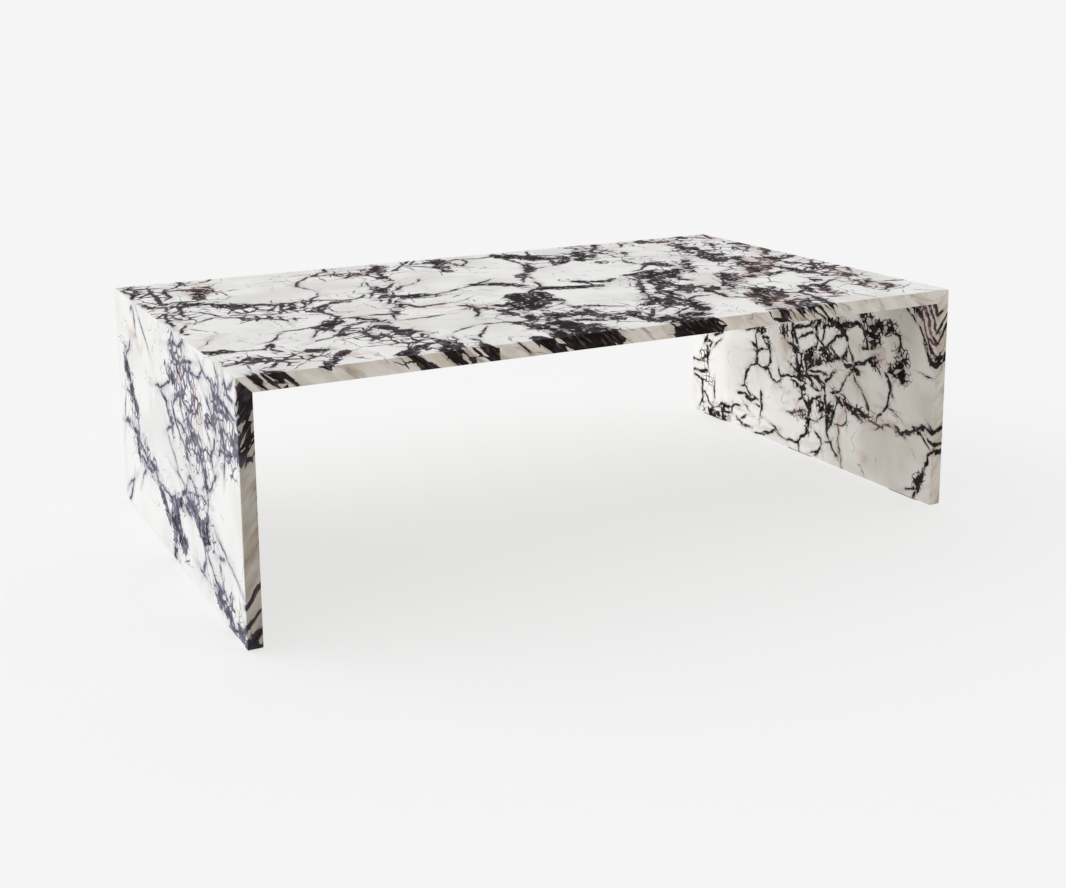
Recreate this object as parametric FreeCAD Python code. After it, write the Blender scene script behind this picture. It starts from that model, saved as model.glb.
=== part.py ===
"""Marble coffee table: three mitred slabs of honed breccia marble that stand as a bridge.

Millimetres, +Z up, X along the table, the front at -Y. The origin is on the floor, under the middle of the top.
"""

import FreeCAD
import Part
import math
import os

# Driving dimensions of the table
LENGTH = 1100.0
DEPTH = 650.0
HEIGHT = 340.0
SLAB = 20.0
EDGE_RADIUS = 1.5

# The arris over each mitre is eased a little more than the other edges
ARRIS_EXTRA_RADIUS = 1.0

# Adhesive in the mitres, and round the pins that cross them
GLUE_LINE = 0.6
PIN_GLUE = 0.5

# Stainless pins square to each mitre: from the inner corner, from the outer face, and along the joint
PIN_DIAMETER = 5.0
PIN_INNER_INSET = 7.0
PIN_END_COVER = 6.0
PIN_COUNT = 4
PIN_ROW_MARGIN = 80.0

# Resin-bonded glass fibre sheet under the top
BACKING_THICKNESS = 0.8
BACKING_MARGIN = 15.0

# Rubber pads stuck under the legs
PAD_THICKNESS = 2.0
PAD_LENGTH = 70.0
PAD_INSET = 3.0
PAD_ROW_MARGIN = 30.0
PAD_PLACES = ("front", "middle", "back")

# Sizes that follow from these
SIDES = {"left": -1, "right": 1}
ARRIS_RADIUS = EDGE_RADIUS + ARRIS_EXTRA_RADIUS
PIN_DEPTH = SLAB - PIN_INNER_INSET
PIN_LENGTH = 2 * math.sqrt(2) * (PIN_DEPTH - PIN_END_COVER)
PIN_HOLE_RADIUS = PIN_DIAMETER / 2 + PIN_GLUE
PAD_WIDTH = SLAB - 2 * PAD_INSET
UNDERSIDE = HEIGHT - SLAB
INNER_HALF_LENGTH = LENGTH / 2 - SLAB
CLOSE = 1e-4


def section_point(x, z):
    """A point of a slab's section, on the plane of the front face."""
    return FreeCAD.Vector(x, -DEPTH / 2, z)


def arris_point(side, angle):
    """A point on the rounded arris over a mitre: 0 degrees meets the leg's face, 90 meets the tabletop."""
    turn = math.radians(angle)
    x = LENGTH / 2 - ARRIS_RADIUS + ARRIS_RADIUS * math.cos(turn)
    z = HEIGHT - ARRIS_RADIUS + ARRIS_RADIUS * math.sin(turn)
    return section_point(side * x, z)


def arris_arc(side, start, end):
    middle = (start + end) / 2
    return Part.Arc(arris_point(side, start), arris_point(side, middle), arris_point(side, end)).toShape()


def inner_corner(side):
    return section_point(side * INNER_HALF_LENGTH, UNDERSIDE)


def extruded(edges):
    """Carries a closed section from the front face to the back face."""
    return Part.Face(Part.Wire(edges)).extrude(FreeCAD.Vector(0, DEPTH, 0))


def on_mitre(point):
    return abs((point.z - abs(point.x)) - (HEIGHT - LENGTH / 2)) < CLOSE


def eased(slab):
    """Rounds every edge of the front, back and bottom faces, and leaves the mitre's own edges sharp."""
    edges = []
    for edge in slab.Edges:
        box = edge.BoundBox
        on_end_face = abs(abs(box.YMin) - DEPTH / 2) < CLOSE and box.YLength < CLOSE
        on_bottom = abs(box.ZMax - PAD_THICKNESS) < CLOSE
        if (on_end_face or on_bottom) and not all(on_mitre(vertex.Point) for vertex in edge.Vertexes):
            edges.append(edge)
    return slab.makeFillet(EDGE_RADIUS, edges)


def top_blank():
    """The top slab, mitred to 45 degrees at both ends."""
    points = [arris_point(1, 45), inner_corner(1), inner_corner(-1), arris_point(-1, 45)]
    edges = [Part.makeLine(a, b) for a, b in zip(points, points[1:])]
    edges.append(arris_arc(-1, 45, 90))
    edges.append(Part.makeLine(arris_point(-1, 90), arris_point(1, 90)))
    edges.append(arris_arc(1, 90, 45))
    return eased(extruded(edges))


def leg_blank(side):
    """A leg slab, mitred to 45 degrees at its upper end and square at the floor."""
    points = [
        arris_point(side, 45),
        inner_corner(side),
        section_point(side * INNER_HALF_LENGTH, PAD_THICKNESS),
        section_point(side * LENGTH / 2, PAD_THICKNESS),
        arris_point(side, 0),
    ]
    edges = [Part.makeLine(a, b) for a, b in zip(points, points[1:])]
    edges.append(arris_arc(side, 0, 45))
    return eased(extruded(edges))


def mitre_gap(side):
    """The space of the glue line, carried past the stone at both ends of the mitre."""
    inward = FreeCAD.Vector(-side, 0, -1).normalize()
    across = FreeCAD.Vector(-side, 0, 1).normalize()
    outer = section_point(side * LENGTH / 2, HEIGHT) - inward * SLAB
    inner = inner_corner(side) + inward * SLAB
    half = across * (GLUE_LINE / 2)
    points = [outer - half, outer + half, inner + half, inner - half, outer - half]
    return extruded([Part.makeLine(a, b) for a, b in zip(points, points[1:])])


def pin_row(side, radius):
    """Round bars square to the mitre, spaced evenly along it."""
    along = FreeCAD.Vector(-side, 0, 1).normalize()
    pitch = (DEPTH - 2 * PIN_ROW_MARGIN) / (PIN_COUNT - 1)
    bars = []
    for index in range(PIN_COUNT):
        y = -DEPTH / 2 + PIN_ROW_MARGIN + index * pitch
        middle = FreeCAD.Vector(side * (LENGTH / 2 - PIN_DEPTH), y, HEIGHT - PIN_DEPTH)
        bars.append(Part.makeCylinder(radius, PIN_LENGTH, middle - along * (PIN_LENGTH / 2), along))
    return Part.makeCompound(bars)


def backing_sheet():
    """The sheet bonded under the top, clear of the legs and of the front and back edges."""
    length = 2 * (INNER_HALF_LENGTH - BACKING_MARGIN)
    depth = DEPTH - 2 * BACKING_MARGIN
    corner = FreeCAD.Vector(-length / 2, -depth / 2, UNDERSIDE - BACKING_THICKNESS)
    return Part.makeBox(length, depth, BACKING_THICKNESS, corner)


def foot_pad(side, place):
    """A pad with round ends, lengthwise under a leg."""
    pitch = (DEPTH - 2 * PAD_ROW_MARGIN - PAD_LENGTH) / (len(PAD_PLACES) - 1)
    middle_x = side * (LENGTH / 2 - SLAB / 2)
    front_y = -DEPTH / 2 + PAD_ROW_MARGIN + PAD_WIDTH / 2 + PAD_PLACES.index(place) * pitch
    back_y = front_y + PAD_LENGTH - PAD_WIDTH
    radius = PAD_WIDTH / 2
    front = FreeCAD.Vector(middle_x, front_y, 0)
    back = FreeCAD.Vector(middle_x, back_y, 0)
    out = FreeCAD.Vector(radius, 0, 0)
    ahead = FreeCAD.Vector(0, radius, 0)
    outline = Part.Wire([
        Part.Arc(front - out, front - ahead, front + out).toShape(),
        Part.makeLine(front + out, back + out),
        Part.Arc(back + out, back + ahead, back - out).toShape(),
        Part.makeLine(back - out, front - out),
    ])
    return Part.Face(outline).extrude(FreeCAD.Vector(0, 0, PAD_THICKNESS))


# The stone is cut back for the glue line and drilled for the pins, and the adhesive fills what is left
nodes = {}
top = top_blank()
for name, side in SIDES.items():
    leg = leg_blank(side)
    gap = mitre_gap(side)
    holes = pin_row(side, PIN_HOLE_RADIUS)
    pins = pin_row(side, PIN_DIAMETER / 2)
    film = top.common(gap).fuse(leg.common(gap))
    nodes[f"{name}_leg_slab"] = leg.cut(gap).cut(holes)
    nodes[f"{name}_mitre_adhesive"] = film.fuse(holes).removeSplitter().cut(pins)
    nodes[f"{name}_mitre_pins"] = pins
    for place in PAD_PLACES:
        nodes[f"{name}_{place}_foot_pad"] = foot_pad(side, place)
    top = top.cut(gap).cut(holes)
nodes["top_slab"] = top
nodes["top_backing_sheet"] = backing_sheet()

os.makedirs("parts", exist_ok=True)
for node, shape in nodes.items():
    shape.exportStep(f"parts/{node}.step")
    print(f"{node}: {len(shape.Solids)} solid(s), {shape.Volume / 1000:.1f} cm3, valid {shape.isValid()}")
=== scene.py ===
import math

import bpy
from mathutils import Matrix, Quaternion, Vector


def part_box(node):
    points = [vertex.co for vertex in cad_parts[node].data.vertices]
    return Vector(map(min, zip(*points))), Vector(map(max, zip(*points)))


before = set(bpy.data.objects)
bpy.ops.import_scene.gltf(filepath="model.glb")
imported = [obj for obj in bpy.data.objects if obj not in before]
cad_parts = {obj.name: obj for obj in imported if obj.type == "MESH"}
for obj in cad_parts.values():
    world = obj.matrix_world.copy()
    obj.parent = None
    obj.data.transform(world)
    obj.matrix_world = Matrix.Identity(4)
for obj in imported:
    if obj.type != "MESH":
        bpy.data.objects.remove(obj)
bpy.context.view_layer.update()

# Top slab
# One 20 mm slab of white breccia marble, sawn, honed and mitred at both ends. Broken white stone lies
# in a dark violet matrix, which shows as thick veins, pools of small fragments and rusty stains.


def linear(code):
    """An sRGB hex colour as linear red, green, blue and alpha."""
    channels = [int(code[i:i + 2], 16) / 255 for i in (1, 3, 5)]
    return [c / 12.92 if c <= 0.04045 else ((c + 0.055) / 1.055) ** 2.4 for c in channels] + [1.0]


def add(tree, kind, inputs=None, output=None, **settings):
    """Adds a shader node and gives the named output, or else the first that is in use.

    Inputs are plain values or the outputs that feed them.
    """
    node = tree.nodes.new("ShaderNode" + kind)
    for name, value in settings.items():
        setattr(node, name, value)
    for name, value in (inputs or {}).items():
        if isinstance(value, bpy.types.NodeSocket):
            tree.links.new(value, node.inputs[name])
        else:
            node.inputs[name].default_value = value
    if output:
        return node.outputs[output]
    return next((out for out in node.outputs if out.enabled), None)


# A stretch of vein is a lens, a little longer than the stretch so that it runs on into the next
LENS_OVERLAP = 0.62
LENS_TIP = 0.4
TURN_STEP = 7.5
FAR = 1000.0


def nearest_vein(tree, place, veins):
    """Millimetres from the edge of the nearest vein, below zero inside it.

    A vein is its half width and its points. Stretches that run the same way, to the step of turn in
    degrees, share one turned frame in one node group.
    """
    ways = {}
    for half_width, *points in veins:
        for start, end in zip(points, points[1:] or points):
            along = Vector(end) - Vector(start)
            way = round(math.degrees(math.atan2(along.y, along.x)) / TURN_STEP) % round(180 / TURN_STEP)
            half_length = max(LENS_OVERLAP * along.length + LENS_TIP * half_width, half_width)
            ways.setdefault(way, []).append((half_width, half_length, (Vector(start) + Vector(end)) / 2))
    nearest = FAR
    for way, stretches in ways.items():
        turn = math.radians(TURN_STEP * way)
        ahead = Vector((math.cos(turn), math.sin(turn)))
        aside = Vector((-math.sin(turn), math.cos(turn)))
        group = bpy.data.node_groups.new("veins_one_way", "ShaderNodeTree")
        group.interface.new_socket("Place", in_out="INPUT", socket_type="NodeSocketVector")
        group.interface.new_socket("Nearest", in_out="INPUT", socket_type="NodeSocketFloat")
        group.interface.new_socket("Nearest", in_out="OUTPUT", socket_type="NodeSocketFloat")
        entry = group.nodes.new("NodeGroupInput")
        measures = [
            add(group, "VectorMath", {0: entry.outputs["Place"], 1: (*axis, 0)}, operation="DOT_PRODUCT")
            for axis in (ahead, aside)
        ]
        turned = add(group, "CombineXYZ", {"X": measures[0], "Y": measures[1]})
        least = entry.outputs["Nearest"]
        for half_width, half_length, middle in stretches:
            local = add(group, "VectorMath", {
                0: turned,
                1: (1 / half_length, 1 / half_width, 0),
                2: (-middle.dot(ahead) / half_length, -middle.dot(aside) / half_width, 0),
            }, operation="MULTIPLY_ADD")
            radius = add(group, "VectorMath", {0: local}, operation="LENGTH")
            depth = add(group, "Math", {
                0: radius, 1: half_width, 2: -half_width,
            }, operation="MULTIPLY_ADD")
            least = add(group, "Math", {0: least, 1: depth}, operation="MINIMUM")
        group.links.new(least, group.nodes.new("NodeGroupOutput").inputs["Nearest"])
        nearest = add(tree, "Group", {"Place": place, "Nearest": nearest}, node_tree=group)
    return nearest


MM = 1000
SLAB_DEPTH = 650
POOL_FROM = 7


def breccia_marble(
    name, corner, axes, streaks, veins, crowds, stains, shard, seam, slim, fill, lace, web, mist, painted_front_shade,
    body, cloud, sawn_tone_and_shade, bloom, rim, core,
):
    """Honed breccia marble: a matt white stone with crisp dark veins that run on through the slab.

    Corner and axes lay the face out in millimetres, and streaks are scales for the streaks on its edge.
    Veins, crowds and stains are strokes, each a half width and its points.
    In millimetres, shard is the size of the broken stones, seam the widest crack between them, and mist
    the reach of the bloom beside a vein. As shares, slim is of a thin vein's drawn width, fill of matrix
    in the pools, lace of cracks along a vein, web of cracks round the crowds, and painted_front_shade
    of the cloud colour laid in towards the front as painted shade.
    """
    material = bpy.data.materials.new(name)
    material.use_nodes = True
    tree = material.node_tree
    tree.nodes.clear()

    # Millimetres on the slab's face, sheared with depth so that veins slant through the thickness
    object_place = add(tree, "TexCoord", output="Object")
    from_corner = add(tree, "VectorMath", {0: object_place, 1: corner}, operation="SUBTRACT")
    measures = [
        add(tree, "VectorMath", {0: from_corner, 1: axis}, operation="DOT_PRODUCT")
        for axis in axes
    ]
    face = add(tree, "CombineXYZ", {"X": measures[0], "Y": measures[1]})

    # Slow bends, broken edges and grain-sized raggedness, as sizes and reaches in millimetres
    place = face
    for size, reach, detail in ((95, 12, 1), (24, 10, 2), (9, 4, 2)):
        noise = add(tree, "TexNoise", {
            "Vector": face, "Scale": 1 / size, "Detail": detail,
        }, "Color", noise_dimensions="2D")
        centred = add(tree, "VectorMath", {0: noise, 1: (0.5, 0.5, 0.5)}, operation="SUBTRACT")
        place = add(tree, "VectorMath", {
            0: centred, 1: (reach, reach, 0), 2: place,
        }, operation="MULTIPLY_ADD")
    swell = add(tree, "TexNoise", {"Vector": face, "Scale": 1 / 30, "Detail": 3}, noise_dimensions="2D")
    swollen = add(tree, "Math", {0: swell, 1: 7.0, 2: -3.5}, operation="MULTIPLY_ADD")

    # Veins are dark all through. Wide ones are pools, and crowds are wider zones of broken stone
    lines = nearest_vein(tree, place, [(slim * v[0], *v[1:]) for v in veins if v[0] < POOL_FROM])
    pools = nearest_vein(tree, place, [v for v in veins if v[0] >= POOL_FROM])
    crowd = nearest_vein(tree, place, crowds)
    line_edge = add(tree, "Math", {0: swollen, 1: 0.6, 2: lines}, operation="MULTIPLY_ADD")
    pool_edge = add(tree, "Math", {0: swollen, 1: 1.5, 2: pools}, operation="MULTIPLY_ADD")
    crowd_edge = add(tree, "Math", {0: swollen, 1: 6.0, 2: crowd}, operation="MULTIPLY_ADD")
    in_line = add(tree, "MapRange", {
        "Value": line_edge, "From Min": 0.6, "From Max": -0.6,
    }, interpolation_type="SMOOTHSTEP")
    in_pool = add(tree, "MapRange", {"Value": pool_edge, "From Min": 8.0, "From Max": -5.0})
    in_crowd = add(tree, "MapRange", {
        "Value": crowd_edge, "From Min": 8.0, "From Max": -16.0, "To Max": 0.8,
    })
    frayed = add(tree, "MapRange", {
        "Value": line_edge, "From Min": 2.5, "From Max": -1.5, "To Max": lace,
    })
    laced = add(tree, "Math", {0: in_pool, 1: frayed}, operation="MAXIMUM")
    broken = add(tree, "Math", {0: laced, 1: in_crowd}, operation="MAXIMUM")
    stain = nearest_vein(tree, place, stains)
    stained = add(tree, "MapRange", {
        "Value": stain, "From Min": 10.0, "From Max": -10.0,
    }, interpolation_type="SMOOTHSTEP")

    # Where the stone is broken, dark seams part the shards, and more and more of the shards are matrix
    shards = add(tree, "TexVoronoi", {
        "Vector": place, "Scale": 1 / shard,
    }, "Color", voronoi_dimensions="2D")
    seams = add(tree, "TexVoronoi", {
        "Vector": place, "Scale": 1 / shard,
    }, feature="DISTANCE_TO_EDGE", voronoi_dimensions="2D")
    luck = add(tree, "VectorMath", {0: shards, 1: (1, 0, 0)}, operation="DOT_PRODUCT")
    turned = add(tree, "Math", {0: in_pool, 1: fill, 2: -0.2}, operation="MULTIPLY_ADD")
    turned = add(tree, "Math", {0: in_crowd, 1: 0.4, 2: turned}, operation="MULTIPLY_ADD")
    turned = add(tree, "Math", {0: frayed, 1: 0.9, 2: turned}, operation="MULTIPLY_ADD")
    turned = add(tree, "Math", {0: stained, 1: -0.3, 2: turned}, operation="MULTIPLY_ADD")
    solid = add(tree, "MapRange", {
        "Value": pool_edge, "From Min": -7.0, "From Max": -15.0, "To Max": 0.8,
    })
    turned = add(tree, "Math", {0: turned, 1: solid}, operation="ADD")
    turned = add(tree, "Math", {0: turned, 1: luck}, operation="SUBTRACT", use_clamp=True)
    uneven = add(tree, "MapRange", {
        "Value": swell, "From Min": 0.35, "From Max": 0.65,
        "To Min": seam / shard, "To Max": 0.1 * seam / shard,
    })
    seam_width = add(tree, "Math", {0: broken, 1: uneven}, operation="MULTIPLY")
    seam_width = add(tree, "Math", {0: turned, 1: 3.0, 2: seam_width}, operation="MULTIPLY_ADD")
    seam_gap = add(tree, "Math", {0: seams, 1: seam_width}, operation="SUBTRACT")
    in_seam = add(tree, "MapRange", {
        "Value": seam_gap, "From Min": 0.4 / shard, "From Max": -0.4 / shard,
    }, interpolation_type="SMOOTHSTEP")
    somewhere = add(tree, "MapRange", {"Value": broken, "From Min": 0.1, "From Max": 0.2})
    in_seam = add(tree, "Math", {0: in_seam, 1: somewhere}, operation="MULTIPLY")
    dark = add(tree, "Math", {0: in_line, 1: in_seam}, operation="MAXIMUM")

    from_back = add(tree, "VectorMath", {
        0: from_corner, 1: (0, -MM, 0),
    }, operation="DOT_PRODUCT")
    at_edge = add(tree, "MapRange", {
        "Value": from_back, "From Min": SLAB_DEPTH - 2, "From Max": SLAB_DEPTH,
    })

    # Round the crowds a wider web of fine cracks parts the larger stones
    webs = add(tree, "TexVoronoi", {
        "Vector": place, "Scale": 1 / (3 * shard),
    }, feature="DISTANCE_TO_EDGE", voronoi_dimensions="2D")
    web_reach = add(tree, "MapRange", {
        "Value": crowd_edge, "From Min": 45.0, "From Max": 5.0, "To Min": -0.02, "To Max": web,
    })
    web_width = add(tree, "Math", {0: web_reach, 1: uneven}, operation="MULTIPLY")
    web_gap = add(tree, "Math", {0: webs, 1: web_width}, operation="SUBTRACT")
    in_web = add(tree, "MapRange", {
        "Value": web_gap, "From Min": 0.12 / shard, "From Max": -0.12 / shard, "To Max": 0.85,
    }, interpolation_type="SMOOTHSTEP")
    web_there = add(tree, "MapRange", {"Value": web_reach, "From Min": 0.0, "From Max": 0.04})
    web_there = add(tree, "Math", {0: web_there, 1: at_edge}, operation="SUBTRACT", use_clamp=True)
    in_web = add(tree, "Math", {0: in_web, 1: web_there}, operation="MULTIPLY")
    dark = add(tree, "Math", {0: dark, 1: in_web}, operation="MAXIMUM")

    # Crumbs of white stone float in the matrix
    crumbs = add(tree, "TexVoronoi", {"Vector": place, "Scale": 1 / 6.5}, voronoi_dimensions="2D")
    chance = add(tree, "VectorMath", {
        0: crumbs.node.outputs["Color"], 1: (0, 1, 0),
    }, operation="DOT_PRODUCT")
    bare = add(tree, "MapRange", {
        "Value": chance, "From Min": 0.62, "From Max": 0.95, "To Max": 0.52,
    })
    bare = add(tree, "Math", {0: bare, 1: crumbs}, operation="SUBTRACT")
    crumb = add(tree, "MapRange", {
        "Value": bare, "From Min": 0.0, "From Max": 0.1, "To Max": 0.8,
    }, interpolation_type="SMOOTHSTEP")
    on_face = add(tree, "Math", {0: laced, 1: at_edge}, operation="SUBTRACT", use_clamp=True)
    crumb = add(tree, "Math", {0: crumb, 1: on_face}, operation="MULTIPLY")
    dark = add(tree, "Math", {0: dark, 1: crumb}, operation="SUBTRACT", use_clamp=True)

    # On the sawn edge the broken stone is cut into slanted streaks, and the white is smudged brown
    slant = add(tree, "VectorMath", {0: place, 1: streaks}, operation="MULTIPLY")
    streak = add(tree, "TexNoise", {"Vector": slant, "Scale": 1.0, "Detail": 2}, noise_dimensions="2D")
    smudge = add(tree, "TexNoise", {"Vector": slant, "Scale": 0.3, "Detail": 4}, noise_dimensions="2D")
    smudge = add(tree, "MapRange", {
        "Value": smudge, "From Min": 0.43, "From Max": 0.25, "To Max": 0.75,
    })
    streak = add(tree, "MapRange", {
        "Value": streak, "From Min": 0.55, "From Max": 0.72, "To Max": 0.12,
    })
    streak = add(tree, "Math", {0: streak, 1: at_edge}, operation="MULTIPLY")
    dark = add(tree, "Math", {0: dark, 1: streak}, operation="SUBTRACT", use_clamp=True)

    # Wandering hairlines across the white stone
    wander = add(tree, "TexNoise", {"Vector": place, "Scale": 1 / 120, "Detail": 3}, noise_dimensions="2D")
    off_line = add(tree, "Math", {0: wander, 1: 0.5}, operation="SUBTRACT")
    off_line = add(tree, "Math", {0: off_line}, operation="ABSOLUTE")
    hair = add(tree, "MapRange", {
        "Value": off_line, "From Min": 0.006, "From Max": 0.001, "To Max": 0.55,
    })
    some = add(tree, "MapRange", {"Value": swell, "From Min": 0.45, "From Max": 0.6})
    hair = add(tree, "Math", {0: hair, 1: some}, operation="MULTIPLY")

    # Colour: clouded white with painted shade towards the front, cream at the sawn front edge set darker
    # partly as painted shade, a tinted bloom beside each vein, then rust stains
    clouds = add(tree, "TexNoise", {"Vector": face, "Scale": 1 / 110, "Detail": 6}, noise_dimensions="2D")
    clouds_and_painted_shade = add(tree, "MapRange", {
        "Value": clouds, "From Min": 0.4, "From Max": 0.65, "To Max": 1 - painted_front_shade,
    })
    # Painted shade: from 330 to 600 mm along the face the white greys into the cloud colour towards the
    # front
    painted_shade_toward_front = add(tree, "MapRange", {
        "Value": measures[0], "From Min": 330, "From Max": 600, "To Max": painted_front_shade,
    })
    clouds_and_painted_shade = add(tree, "Math", {0: clouds_and_painted_shade, 1: painted_shade_toward_front}, operation="ADD", use_clamp=True)
    white = add(tree, "Mix", {"Factor": clouds_and_painted_shade, "A": linear(body), "B": linear(cloud)}, data_type="RGBA")
    mottle = add(tree, "MapRange", {"Value": swell, "From Min": 0.4, "From Max": 0.7})
    # The sawn front edge has its own cream tones, set below the faces partly as painted shade on that side
    edge_tone_and_shade = add(tree, "Mix", {
        "Factor": mottle, "A": linear(sawn_tone_and_shade[0]), "B": linear(sawn_tone_and_shade[1]),
    }, data_type="RGBA")
    edge_tone_and_shade = add(tree, "Mix", {
        "Factor": smudge, "A": edge_tone_and_shade, "B": linear("#9a7f6f"),
    }, data_type="RGBA")
    white = add(tree, "Mix", {"Factor": at_edge, "A": white, "B": edge_tone_and_shade}, data_type="RGBA")
    near = add(tree, "Math", {0: pool_edge, 1: line_edge}, operation="MINIMUM")
    misty = add(tree, "MapRange", {
        "Value": near, "From Min": mist, "From Max": -4.0, "To Max": 0.65,
    }, interpolation_type="SMOOTHSTEP")
    halo = add(tree, "Mix", {
        "Factor": at_edge, "A": linear(bloom), "B": linear("#b3a699"),
    }, data_type="RGBA")
    white = add(tree, "Mix", {"Factor": misty, "A": white, "B": halo}, data_type="RGBA")
    patchy = add(tree, "Math", {0: stained, 1: mottle}, operation="MULTIPLY")
    patchy = add(tree, "Math", {0: patchy, 1: 0.6}, operation="MULTIPLY")
    white = add(tree, "Mix", {"Factor": patchy, "A": white, "B": linear("#c4a89b")}, data_type="RGBA")

    # The matrix is nearly black in places and smoky elsewhere
    smoke = add(tree, "TexNoise", {"Vector": place, "Scale": 1 / 14, "Detail": 4}, noise_dimensions="2D")
    deep = add(tree, "MapRange", {
        "Value": near, "From Min": 2.0, "From Max": -9.0, "To Min": -0.35, "To Max": 0.5,
    })
    smoky = add(tree, "MapRange", {"Value": smoke, "From Min": 0.3, "From Max": 0.7})
    deep = add(tree, "Math", {0: deep, 1: smoky}, operation="ADD", use_clamp=True)
    inky = add(tree, "Mix", {"Factor": deep, "A": linear(rim), "B": linear(core)}, data_type="RGBA")
    rusty = add(tree, "Math", {0: stained, 1: 0.75}, operation="MULTIPLY")
    rust = add(tree, "Mix", {
        "Factor": deep, "A": linear("#7d6062"), "B": linear("#2c1d1e"),
    }, data_type="RGBA")
    inky = add(tree, "Mix", {"Factor": rusty, "A": inky, "B": rust}, data_type="RGBA")
    burnt = add(tree, "Math", {0: at_edge, 1: 0.75}, operation="MULTIPLY")
    inky = add(tree, "Mix", {"Factor": burnt, "A": inky, "B": linear("#211917")}, data_type="RGBA")
    veined = add(tree, "Math", {0: dark, 1: hair}, operation="MAXIMUM")
    colour = add(tree, "Mix", {"Factor": veined, "A": white, "B": inky}, data_type="RGBA")

    # The hone leaves a faint grain, drawn 1.5 mm coarse so that it shows, and the matrix a little duller
    grain = add(tree, "TexNoise", {"Vector": face, "Scale": 1 / 1.5, "Detail": 2}, noise_dimensions="2D")
    honed = add(tree, "Bump", {"Height": grain, "Strength": 0.25, "Distance": 0.00008})
    dull = add(tree, "MapRange", {"Value": dark, "To Min": 0.56, "To Max": 0.7})
    shader = add(tree, "BsdfPrincipled", {
        "Base Color": colour, "Roughness": dull, "Specular IOR Level": 0.045, "Normal": honed,
    })
    add(tree, "OutputMaterial", {"Surface": shader})
    return material


def dress(node, material):
    """Gives a CAD node its finish."""
    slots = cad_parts[node].data.materials
    slots.clear()
    slots.append(material)


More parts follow.
